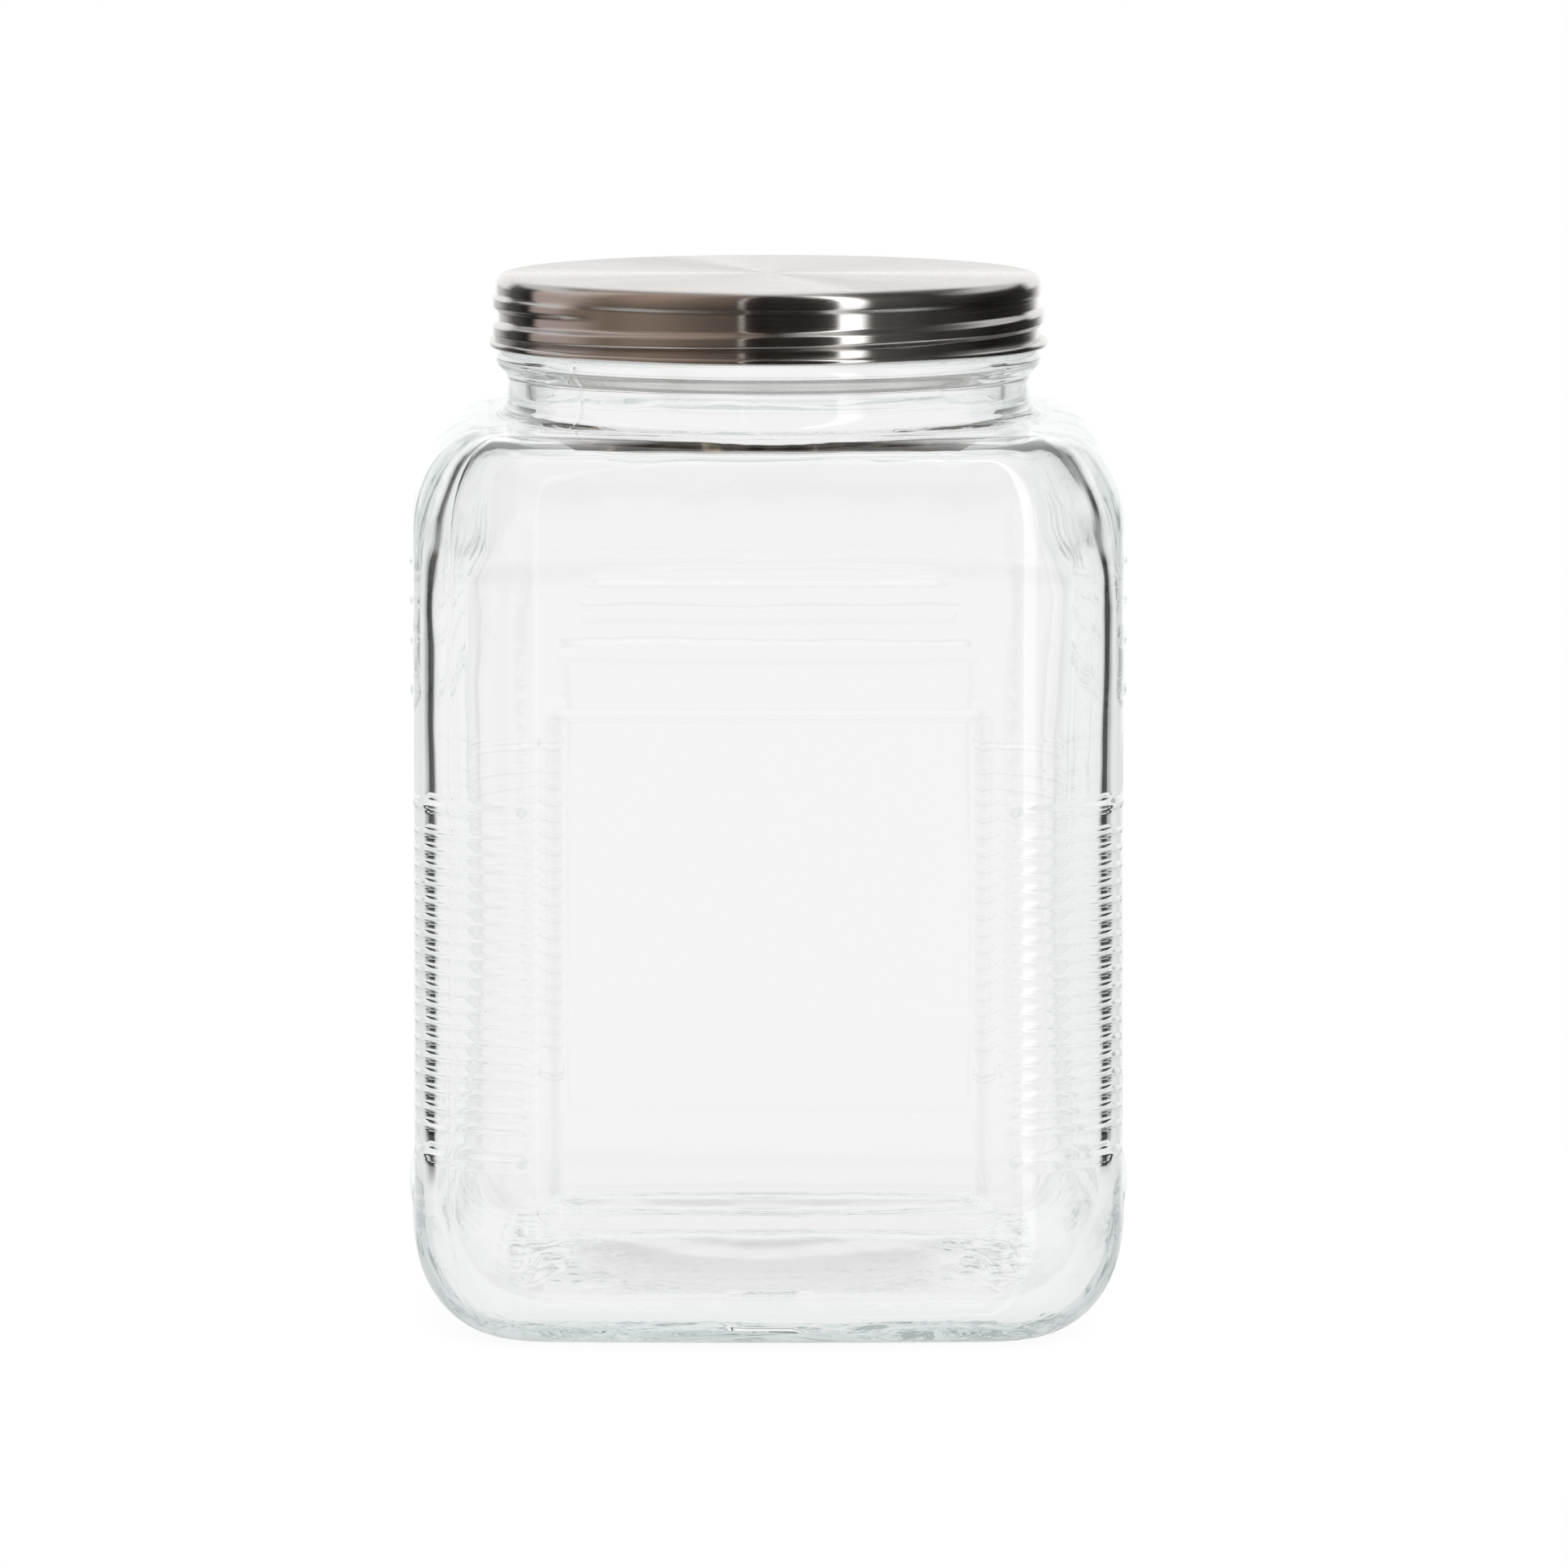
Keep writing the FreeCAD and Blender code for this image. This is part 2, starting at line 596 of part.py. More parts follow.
jar = doc.addObject("Part::Cut", "jar")
jar.Base = glass_body()
jar.Tool = cavity_body()
jar.Label = "jar"
jar.Refine = False
lid = lid_body()
doc.recompute()

for item in doc.Objects:
    if "Invalid" in item.State or "Error" in item.State:
        raise RuntimeError(f"{item.Label} failed: {item.State}")
pieces = [jar, lid]
for piece in pieces:
    if piece.Shape.isNull() or not piece.Shape.isValid() or len(piece.Shape.Solids) != 1:
        raise RuntimeError(f"{piece.Label} is not one sound solid")

os.makedirs("parts", exist_ok=True)
for piece in pieces:
    piece.Shape.exportStep(f"parts/{piece.Label}.step")
    print(piece.Label, round(piece.Shape.Volume / 1000, 1), "cm3")
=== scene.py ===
import math

import bmesh
import bpy
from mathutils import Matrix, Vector, noise


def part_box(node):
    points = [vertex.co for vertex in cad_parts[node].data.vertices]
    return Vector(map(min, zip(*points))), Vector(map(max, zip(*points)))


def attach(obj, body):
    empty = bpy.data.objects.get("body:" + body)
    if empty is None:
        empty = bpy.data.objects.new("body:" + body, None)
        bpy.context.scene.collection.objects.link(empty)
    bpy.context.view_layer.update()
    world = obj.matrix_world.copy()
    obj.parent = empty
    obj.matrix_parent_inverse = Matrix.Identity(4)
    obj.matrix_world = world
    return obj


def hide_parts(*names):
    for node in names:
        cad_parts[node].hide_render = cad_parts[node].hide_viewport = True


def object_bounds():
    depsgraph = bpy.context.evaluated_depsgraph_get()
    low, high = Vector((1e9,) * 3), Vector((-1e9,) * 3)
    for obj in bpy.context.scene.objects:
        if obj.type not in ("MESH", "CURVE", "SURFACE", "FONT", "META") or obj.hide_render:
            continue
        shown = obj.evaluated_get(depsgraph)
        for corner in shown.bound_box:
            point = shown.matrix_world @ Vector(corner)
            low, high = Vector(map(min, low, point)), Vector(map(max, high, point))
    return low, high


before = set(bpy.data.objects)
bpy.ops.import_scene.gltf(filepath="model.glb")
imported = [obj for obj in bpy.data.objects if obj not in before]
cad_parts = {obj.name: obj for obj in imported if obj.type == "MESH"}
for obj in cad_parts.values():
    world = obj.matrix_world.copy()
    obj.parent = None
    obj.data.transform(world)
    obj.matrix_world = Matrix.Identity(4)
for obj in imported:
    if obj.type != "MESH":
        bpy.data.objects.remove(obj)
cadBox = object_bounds()
print("frame loaded")

# A square jar of clear pressed glass and its screw lid of brushed steel.
# Forms are worked out in millimetres, and mm takes them to the frame's metres.
mm = 0.001
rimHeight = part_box("jar")[1].z / mm  # top of the glass
lidLow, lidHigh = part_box("lid")


def lerp(low, high, share):
    return low + (high - low) * share


def smooth(low, high, number):
    share = min(max((number - low) / (high - low), 0.0), 1.0)
    return share * share * (3 - 2 * share)


def steps(low, high, pitch):
    # places from low up or down to high, about a pitch apart, without the first
    count = max(1, round(abs(high - low) / pitch))
    return [lerp(low, high, step / count) for step in range(1, count + 1)]


def turns(count, start=0, stop=90):
    # angles of an arc in radians, without the first
    return [math.radians(lerp(start, stop, step / count)) for step in range(1, count + 1)]


def bump(section, proud, away, soft=1.12):
    # height of a rounded rib of this section at a distance from its middle line;
    # its foot runs out a little past where the round section would end
    reach = soft * math.sqrt(section ** 2 - (section - proud) ** 2)
    share = abs(away) / reach
    return proud * (1 - share ** 2) ** 2 if share < 1 else 0.0


def newPiece(name, bm, body="root"):
    # turns the bmesh into a smooth piece of the object
    bmesh.ops.remove_doubles(bm, verts=bm.verts, dist=1e-7)
    bmesh.ops.recalc_face_normals(bm, faces=bm.faces)
    mesh = bpy.data.meshes.new(name)
    bm.to_mesh(mesh)
    bm.free()
    mesh.polygons.foreach_set("use_smooth", [True] * len(mesh.polygons))
    piece = bpy.data.objects.new(name, mesh)
    bpy.context.scene.collection.objects.link(piece)
    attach(piece, body)
    return piece


def ringStack(columns, rows, place):
    # a closed skin: one ring of vertices for each row, from a first cap to a last one,
    # where place(column, row) is a vertex's place in millimetres
    bm = bmesh.new()
    index = bm.verts.layers.int.new("column")
    made = bmesh.ops.create_circle(bm, cap_ends=False, radius=1.0, segments=columns)
    ring = made["verts"]
    for number, vert in enumerate(ring):
        vert[index] = number
        vert.co = Vector(place(number, rows[0])) * mm
    edges = list(bm.edges)
    first = list(edges)
    for row in rows[1:]:
        made = bmesh.ops.extrude_edge_only(bm, edges=edges)["geom"]
        edges = [item for item in made if isinstance(item, bmesh.types.BMEdge)]
        for vert in (item for item in made if isinstance(item, bmesh.types.BMVert)):
            vert.co = Vector(place(vert[index], row)) * mm
    for rim in (first, edges):
        cap = bmesh.ops.contextual_create(bm, geom=rim)["faces"]
        bmesh.ops.poke(bm, faces=cap)
    return bm


# glass jar
glassForm = {
    "halfWidth": 63.5,  # middle of a face, from the jar's axis
    "crownRadius": 640.0,
    "cornerRadius": 24.0,
    "shoulder": 12.5,  # how far the shoulder reaches in, and how far it comes down
    "shoulderDrop": 17.0,
    "shoulderTop": 159.8,
    "heelReach": 16.8,  # the heel is a little taller than it is deep
    "heelHeight": 19.4,
    "pushupRadius": 38.0,
    "pushupRise": 3.0,
    "wall": 3.8,
    "floor": 6.5,
    "innerHeel": 20.0,
    "innerHeelReach": 14.0,
    "innerShoulder": 129.6,  # height where the cavity starts to draw in
    "innerShoulderRise": 26.0,
    "innerShoulderReach": 11.0,
    "domeRadius": 46.0,
    "domeRise": 2.6,
    "ripple": 0.22,  # rings in the cavity's floor, where the blown glass settled
    "ripplePitch": 16.0,
    "neck": 46.5,
    "neckRoot": 3.5,
    "beadFoot": 166.9,
    "beadWidest": 169.7,
    "beadTop": 171.8,
    "beadProud": 2.0,
    "bore": 42.5,
    "boreFoot": [(42.5, 160.3), (42.6, 159.6), (42.95, 158.9), (43.7, 158.3), (45.2, 157.7),
                 (47.3, 157.1)],  # the bore's lower edge, as radius and height
    "rimRounding": 1.2,
    "rimInside": [(0.8, 0.0), (0.2, 0.25), (0.0, 0.8)],  # outside the bore, and below the rim
    "seam": 0.14,  # ridge where the two halves of the mould met, on two opposite corners
    "seamHalf": 1.4,  # degrees to each side
    "seamFoot": (2, 12),  # heights between which it rises out of the foot
    "reliefFoot": 12,  # panels, bars and ribs are only above this height
}
unevenForm = {  # how the blown inside strays from its true place
    "size": 0.16,
    "scales": (0.045, 0.11, 0.19),  # of a large, a middling and a small wave
    "shares": (1.0, 0.5, 0.15),
    "shift": (9, 4, 2),  # keeps the middling wave apart from the large one
    "floor": (9, 26),  # heights between which the floor's extra unevenness fades out
    "floorShare": 0.5,
    "floorSize": 0.6,
    "shoulder": (110, 140),  # heights between which the shoulder's extra fades in
    "shoulderShare": 0.5,
    "upward": 0.35,
    "calm": (6, 1),  # it fades out between these depths under the rim
}
threadForm = {"pitch": 5.08, "turns": 1.12, "start": 165.0, "drop": 9.76, "proud": 1.85,
              "halfHeight": 1.5}  # turns are full ones, start is in degrees
panelForm = {"low": 26.6, "high": 113.0, "depth": 0.6, "endSlope": 2.4,
             "sideFoot": 35.7, "sideTop": 38.7, "sharpEnd": 0.2}
faceBeads = [  # height, half length, section radius, how proud
    (122.7, 34.3, 1.3, 0.35),
    (129.45, 31.4, 1.3, 0.35),
    (136.2, 28.4, 1.3, 0.35),
    (114.2, 35.7, 3.2, 0.4),
    (25.0, 35.7, 9.5, 0.48),
]
beadEnd = 1.6  # how much longer than high the end of a bead is
cornerRibs = {"first": 38.6, "pitch": 3.04, "count": 18, "section": 0.65, "proud": 0.32,
              "sweep": 32.5, "endLength": 3.5, "stopGap": 4.9, "stopSection": 1.5,
              "stopProud": 0.6}
columnForm = {
    "plain": 28.0,  # half of a face's plain middle
    "plainPitch": 4.0,
    "edgePitch": 0.98,
    "seamAngles": [0.0, 0.6, 1.4, 4.0],  # degrees from a corner's middle
    "ribStop": 28.0,
    "ribPitch": 4.0,
    "ribEnds": [30.5, 32.5, 34.0, 35.5, 38.4],
}
wallForm = {  # heights up the outer wall, and how far apart its rows are below each
    "panelFoot": 29.2,
    "heelPitch": 0.9,
    "stopReach": 2.2,  # half of a stop's height
    "lowerStopPitch": 0.6,
    "upperStopPitch": 0.5,
    "ribRows": (-1.02, -0.56, -0.18, 0.18, 0.56, 1.02),  # across a rib, in its sections
    "panelHead": 110.6,
    "panelPitch": 2.2,
    "barsTop": 139.0,
    "barsPitch": 0.58,
    "shoulderPitch": 2.1,
}


def planColumns(form):
    # where each column of the skin stands: a centre, a way outwards, and what it crosses
    offset = form["crownRadius"] - form["halfWidth"]
    bend = form["crownRadius"] - form["cornerRadius"]
    corner = (math.sqrt(2 * bend ** 2 - offset ** 2) - offset) / 2
    lean = math.degrees(math.atan2(corner, offset + corner))
    faceEdge = form["crownRadius"] * math.sin(math.radians(lean))
    plain = columnForm["plain"]
    across = [0.0] + steps(0, plain, columnForm["plainPitch"])
    across += steps(plain, faceEdge, columnForm["edgePitch"])
    angles = columnForm["seamAngles"] + steps(columnForm["seamAngles"][-1],
                                              columnForm["ribStop"], columnForm["ribPitch"])
    angles += columnForm["ribEnds"]
    columns = []
    for side in range(4):
        middle = side * 90.0
        out = Vector((math.cos(math.radians(middle)), math.sin(math.radians(middle))))
        along = Vector((-out.y, out.x))
        for place in [-x for x in reversed(across)][:-1] + across:
            angle = math.radians(middle) + math.asin(place / form["crownRadius"])
            way = Vector((math.cos(angle), math.sin(angle)))
            columns.append((out * -offset, way, form["crownRadius"], "face", place, 0.0))
        for place in [-x for x in reversed(angles)][:-1] + angles:
            angle = math.radians(middle + 45 + place)
            way = Vector((math.cos(angle), math.sin(angle)))
            seam = form["seam"] * max(1 - abs(place) / form["seamHalf"], 0)
            seam = seam if side in (0, 2) else 0.0
            columns.append(((out + along) * corner, way, form["cornerRadius"], "corner", place,
                            seam))
    return columns


def panelRelief(place, height):
    form = panelForm
    reach = form["endSlope"]
    sharp = reach * form["sharpEnd"]
    ends = smooth(form["low"] - sharp, form["low"] + reach, height)
    ends *= 1 - smooth(form["high"] - reach, form["high"] + sharp, height)
    return -form["depth"] * ends * (1 - smooth(form["sideFoot"], form["sideTop"], abs(place)))


def faceRelief(place, height):
    proud = panelRelief(place, height)
    for middle, reach, section, rise in faceBeads:
        over = max(abs(place) - reach, 0.0)
        proud += bump(section, rise, math.hypot(height - middle, over / beadEnd))
    return proud


def cornerRelief(place, height):
    form = cornerRibs
    over = max(abs(place) - form["sweep"], 0.0) * math.radians(glassForm["cornerRadius"])
    last = form["first"] + (form["count"] - 1) * form["pitch"]
    row = min(max(round((height - form["first"]) / form["pitch"]), 0), form["count"] - 1)
    away = math.hypot(height - form["first"] - row * form["pitch"], over / form["endLength"])
    proud = bump(form["section"], form["proud"], away)
    for middle in (form["first"] - form["stopGap"], last + form["stopGap"]):
        proud += bump(form["stopSection"], form["stopProud"], math.hypot(height - middle, over))
    return proud


def threadRelief(form, angle, height, base, fade=14, crest=0.35):
    # how proud a helical thread stands here; it fades in and out over some degrees at its
    # ends, and its crest is flat over a share of its height
    best = 0.0
    for turn in (0, 1):
        run = (math.degrees(angle) - form["start"]) % 360 + 360 * turn
        length = form["turns"] * 360
        if run > length:
            continue
        ends = smooth(0, fade, run) * (1 - smooth(length - fade, length, run))
        middle = base + form["pitch"] * run / 360
        away = abs(height - middle) / form["halfHeight"]
        best = max(best, form["proud"] * ends * (1 - smooth(crest, 1.0, away)))
    return best


# each row of the glass: (height, inset of the square plan, round share, radius of the round
# plan, side)
def footRows(form):
    # the raised bottom, the ring the jar stands on and the heel
    rows = []
    for radius in (3.0, 9.0, 16.0, 23.0, 29.0, 33.0, 36.0, 37.4, form["pushupRadius"]):
        rise = form["pushupRise"] * (1 - (radius / form["pushupRadius"]) ** 2)
        rows.append((rise, 0, 1.0, radius, "out"))
    for share in (0.66, 0.33):
        rows.append((0, form["heelReach"], share, form["pushupRadius"], "out"))
    rows.append((0, form["heelReach"], 0, 0, "out"))
    for turn in turns(13):
        rows.append((form["heelHeight"] * (1 - math.cos(turn)),
                     form["heelReach"] * (1 - math.sin(turn)), 0, 0, "out"))
    return rows


def wallRows(form, wall, ribs):
    # up the outer wall, close together where there is relief
    last = ribs["first"] + (ribs["count"] - 1) * ribs["pitch"]
    heights = steps(form["heelHeight"], wall["panelFoot"], wall["heelPitch"])
    heights += steps(wall["panelFoot"], ribs["first"] - ribs["stopGap"] + wall["stopReach"],
                     wall["lowerStopPitch"])
    for number in range(ribs["count"]):
        heights += [ribs["first"] + number * ribs["pitch"] + over * ribs["section"]
                    for over in wall["ribRows"]]
    heights += steps(heights[-1], last + ribs["stopGap"] + wall["stopReach"],
                     wall["upperStopPitch"])
    heights += steps(heights[-1], wall["panelHead"], wall["panelPitch"])
    heights += steps(wall["panelHead"], wall["barsTop"], wall["barsPitch"])
    heights += steps(wall["barsTop"], form["shoulderTop"] - form["shoulderDrop"],
                     wall["shoulderPitch"])
    return [(height, 0, 0, 0, "out") for height in heights]


def neckRows(form):
    # the shoulder, then the round neck with its bead and thread, up to the rim
    top = form["shoulderTop"]
    rows = []
    for turn in turns(11):
        rows.append((top - form["shoulderDrop"] * (1 - math.sin(turn)),
                     form["shoulder"] * (1 - math.cos(turn)), 0, 0, "out"))
    root = form["neck"] + form["neckRoot"]
    for share in (0.3, 0.65, 1.0):
        rows.append((top, form["shoulder"], share, root, "out"))
    for turn in turns(6):
        rows.append((top + form["neckRoot"] * (1 - math.cos(turn)), 0, 1.0,
                     root - form["neckRoot"] * math.sin(turn), "out"))
    for height in steps(top + form["neckRoot"], form["beadFoot"], 1.2):
        rows.append((height, 0, 1.0, form["neck"], "out"))
    for share in (0.12, 0.3, 0.5, 0.7, 0.88, 1.0):
        swell = smooth(0, 1, share) ** 0.85
        rows.append((lerp(form["beadFoot"], form["beadWidest"], share), 0, 1.0,
                     form["neck"] + form["beadProud"] * swell, "out"))
    for turn in turns(7):
        rise = form["beadTop"] - form["beadWidest"]
        rows.append((form["beadWidest"] + rise * math.sin(turn), 0, 1.0,
                     form["neck"] + form["beadProud"] * math.cos(turn), "out"))
    for height in steps(form["beadTop"], rimHeight - form["rimRounding"], 0.6):
        rows.append((height, 0, 1.0, form["neck"], "thread"))
    for turn in turns(4):
        rows.append((rimHeight - form["rimRounding"] * (1 - math.sin(turn)), 0, 1.0,
                     form["neck"] - form["rimRounding"] * (1 - math.cos(turn)), "out"))
    return rows


def insideRows(form):
    # down the bore, under the shoulder, down the wall and across the rippled floor
    rows = [(rimHeight - depth, 0, 1.0, form["bore"] + beyond, "in")
            for beyond, depth in form["rimInside"]]
    rows += [(height, 0, 1.0, form["bore"], "in")
             for height in steps(rows[-1][0], form["boreFoot"][0][1] + 1, 3.0)]
    rows += [(height, 0, 1.0, radius, "in") for radius, height in form["boreFoot"]]
    widest = form["wall"] + form["innerShoulderReach"]
    ceiling = form["innerShoulder"] + form["innerShoulderRise"]
    for share, rest in ((0.75, 0.9), (0.45, 0.4), (0.2, 0.12)):
        rows.append((ceiling + rest, widest, share, form["boreFoot"][-1][0] + 1, "in"))
    for turn in [math.radians(90)] + turns(15, 90, 0):
        rows.append((form["innerShoulder"] + form["innerShoulderRise"] * math.sin(turn),
                     widest - form["innerShoulderReach"] * math.cos(turn), 0, 0, "in"))
    low = form["floor"] + form["innerHeel"]
    for height in steps(form["innerShoulder"], low, 6.5):
        rows.append((height, form["wall"], 0, 0, "in"))
    for turn in turns(10):
        rows.append((low - form["innerHeel"] * math.sin(turn),
                     form["wall"] + form["innerHeelReach"] * (1 - math.cos(turn)), 0, 0, "in"))
    inset = form["wall"] + form["innerHeelReach"]
    for share in (0.5, 1.0):
        rows.append((form["floor"], inset, share, form["domeRadius"], "in"))
    for radius in (44.5, 42.0, 39.0, 36.0, 33.0, 30.0, 26.0, 22.0, 17.0, 12.0, 7.0, 2.5):
        rise = form["domeRise"] * (1 - (radius / form["domeRadius"]) ** 2)
        rise += form["ripple"] * math.cos(2 * math.pi * radius / form["ripplePitch"])
        rows.append((form["floor"] + rise, 0, 1.0, radius, "in"))
    return rows


def unevenInside(form, spot, push, height):
    # how far the blown inside strays from this spot, mostly along push
    large, middling, small = form["scales"]
    low = form["floorShare"] * (1 - smooth(*form["floor"], height))
    wave = form["shares"][0] * noise.noise(spot * large)
    wave += form["shares"][1] * noise.noise(spot * middling + Vector(form["shift"]))
    high = form["shoulderShare"] * smooth(*form["shoulder"], height)
    wave += (form["shares"][2] + high + low) * noise.noise(spot * small)
    deepest, highest = form["calm"]
    calm = 1 - smooth(rimHeight - deepest, rimHeight - highest, height)
    swing = form["size"] * wave * (1 + form["floorSize"] * low) * calm
    return Vector((push.x, push.y, form["upward"] + low)) * swing


def buildGlass(form):
    columns = planColumns(form)
    rows = footRows(form) + wallRows(form, wallForm, cornerRibs)
    rows += neckRows(form) + insideRows(form)
    bearings = [math.atan2((centre + way * reach).y, (centre + way * reach).x)
                for centre, way, reach, kind, place, seam in columns]

    def place(column, row):
        height, inset, roundShare, radius, side = row
        centre, way, reach, kind, where, seam = columns[column]
        angle = bearings[column]
        ringWay = Vector((math.cos(angle), math.sin(angle)))
        if side == "thread":
            radius += threadRelief(threadForm, angle, height, rimHeight - threadForm["drop"])
        round2d = ringWay * radius
        if roundShare == 1.0:
            flat = round2d
            push = ringWay
        else:
            proud = 0.0
            if side == "out" and roundShare == 0.0 and height > form["reliefFoot"]:
                proud = (faceRelief if kind == "face" else cornerRelief)(where, height)
            flat = (centre + way * (reach - inset + proud)).lerp(round2d, roundShare)
            push = way
        spot = Vector((flat.x, flat.y, height))
        if side != "in" and seam:
            ragged = 0.7 + 0.9 * noise.noise(Vector((column, height * 0.5, 0)))
            rising = smooth(*form["seamFoot"], height)
            spot += Vector((push.x, push.y, 0)) * seam * ragged * rising
        if side == "in":
            spot += unevenInside(unevenForm, spot, push, height)
        return spot

    bm = ringStack(len(columns), rows, place)
    print("glass skin:", len(columns), "columns,", len(rows), "rows,", len(bm.faces), "faces")
    return newPiece("jar_glass", bm)


jarGlass = buildGlass(glassForm)
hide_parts("jar")
print("jar built")

# steel lid
lidForm = {
    "top": lidHigh.z / mm,
    "foot": lidLow.z / mm,
    "sheet": 0.45,
    "edge": 2.0,
    "band": 48.6,  # outside of the plain band
    "bandHeight": 3.3,
    "waist": 0.4,
    "hem": 0.65,
    "hemMiddle": 49.1,
    "columns": 288,
}
rolledThread = {"pitch": 5.08, "turns": 1.22, "start": 153.0, "proud": 0.95, "halfHeight": 1.85}


def lidRows(form):
    # each row: (radius, height, share of the rolled thread)
    top = form["top"]
    foot = form["foot"]
    skirt = form["band"] - form["waist"]
    rows = [(radius, top, 0) for radius in (2.0, 6.0, 12.0, 20.0, 28.0, 36.0, 42.0, 45.0)]
    rows.append((form["band"] - form["edge"], top, 0))
    for turn in turns(8):
        rows.append((form["band"] - form["edge"] * (1 - math.sin(turn)),
                     top - form["edge"] * (1 - math.cos(turn)), 0))
    rows.append((form["band"], top - form["bandHeight"] + 0.35, 0))
    rows.append((form["band"] - 0.08, top - form["bandHeight"], 0.2))
    rows.append((skirt + 0.08, top - form["bandHeight"] - form["waist"], 0.7))
    rows.append((skirt, top - form["bandHeight"] - form["waist"] - 0.3, 1))
    hemTop = foot + 2 * form["hem"]
    rows += [(skirt, height, 1) for height in steps(rows[-1][1], hemTop + 0.1, 0.2)]
    rows.append((skirt, foot + form["hem"] + 0.15, 0))
    rows.append((skirt + 0.12, foot + form["hem"] - 0.05, 0))
    for turn in turns(14, 165, -80):
        rows.append((form["hemMiddle"] + form["hem"] * math.cos(turn),
                     foot + form["hem"] + form["hem"] * math.sin(turn), 0))
    rows.append((skirt, foot, 0))
    inside = skirt - form["sheet"]
    rows.append((inside + 0.1, foot + 0.1, 0))
    rows += [(inside, height, 1) for height in
             [foot + 0.5, hemTop + 0.1] + steps(hemTop + 0.1, top - form["bandHeight"] - 0.7, 0.4)]
    rows.append((form["band"] - form["sheet"], top - form["bandHeight"], 0))
    rows.append((form["band"] - form["sheet"], top - form["edge"], 0))
    for turn in turns(5):
        rows.append((form["band"] - form["edge"] + (form["edge"] - form["sheet"]) * math.cos(turn),
                     top - form["edge"] + (form["edge"] - form["sheet"]) * math.sin(turn), 0))
    rows += [(radius, top - form["sheet"], 0) for radius in (42.0, 30.0, 15.0, 2.0)]
    return rows


def buildLid(form):
    rows = lidRows(form)
    base = rimHeight - threadForm["drop"] - rolledThread["pitch"] * 12 / 360

    def place(column, row):
        radius, height, share = row
        angle = 2 * math.pi * column / form["columns"]
        radius += share * threadRelief(rolledThread, angle, height, base)
        return radius * math.cos(angle), radius * math.sin(angle), height

    bm = ringStack(form["columns"], rows, place)
    print("lid skin:", len(rows), "rows,", len(bm.faces), "faces")
    return newPiece("lid_steel", bm)


lidSteel = buildLid(lidForm)
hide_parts("lid")
print("lid built")


# materials
def newMaterial(name):
    material = bpy.data.materials.new(name)
    material.use_nodes = True
    tree = material.node_tree
    tree.nodes.clear()
    return material, tree


def node(tree, kind, operation=None, **inputs):
    # an input goes by its socket's name, with _ for each space, or by _ and its number
    made = tree.nodes.new(kind)
    if operation:
        made.operation = operation
    for name, value in inputs.items():
        socket = made.inputs[int(name[1:]) if name[1:].isdigit() else name.replace("_", " ")]
        if isinstance(value, bpy.types.NodeSocket):
            tree.links.new(value, socket)
        else:
            socket.default_value = value
    return made


def mathNode(tree, operation, first, second=0.5):
    return node(tree, "ShaderNodeMath", operation, _0=first, _1=second).outputs[0]


def product(tree, *factors):
    made = factors[0]
    for factor in factors[1:]:
        made = mathNode(tree, "MULTIPLY", made, factor)
    return made


def spread(tree, value, span, to=(0.0, 1.0)):
    # goes from one end of to over the span, and stays at its ends past it
    return node(tree, "ShaderNodeMapRange", Value=value, From_Min=span[0], From_Max=span[1],
                To_Min=to[0], To_Max=to[1]).outputs[0]


def cloud(tree, spot, scale, detail, roughness=0.5):
    return node(tree, "ShaderNodeTexNoise", Vector=spot, Scale=scale, Detail=detail,
                Roughness=roughness).outputs["Fac"]


def glow(tree, color, strength=1.0):
    return node(tree, "ShaderNodeEmission", Color=color, Strength=strength).outputs[0]


def mixShader(tree, share, first, second):
    return node(tree, "ShaderNodeMixShader", Fac=share, _1=first, _2=second).outputs[0]


def fromAxis(tree, spot):
    # the level way out from the jar's axis, and how far out the spot is
    flat = node(tree, "ShaderNodeVectorMath", "MULTIPLY", _0=spot, _1=(1, 1, 0))
    radius = node(tree, "ShaderNodeVectorMath", "LENGTH", _0=flat.outputs["Vector"])
    return flat.outputs["Vector"], radius.outputs["Value"]


def ramp(tree, value, stops):
    # each stop is a place and a colour, where one number is a grey
    made = node(tree, "ShaderNodeValToRGB", Fac=value)
    made.color_ramp.interpolation = "EASE"
    while len(made.color_ramp.elements) < len(stops):
        made.color_ramp.elements.new(0.5)
    for element, (place, color) in zip(made.color_ramp.elements, stops):
        element.position = place
        element.color = (*color, 1) if isinstance(color, tuple) else (color, color, color, 1)
    return made.outputs["Color"]


def blend(tree, kind, share, low, high):
    # a colour between two others, or one multiplied by the other
    made = tree.nodes.new("ShaderNodeMix")
    made.data_type = "RGBA"
    made.blend_type = kind
    for number, value in ((0, share), (6, low), (7, high)):
        if isinstance(value, bpy.types.NodeSocket):
            tree.links.new(value, made.inputs[number])
        else:
            made.inputs[number].default_value = value
    return made.outputs[2]


def fold(tree, angle, times):
    # 1 at bearing 0 and so many more times round, 0 halfway between
    return spread(tree, mathNode(tree, "COSINE", product(tree, angle, times)), (-1.0, 1.0))


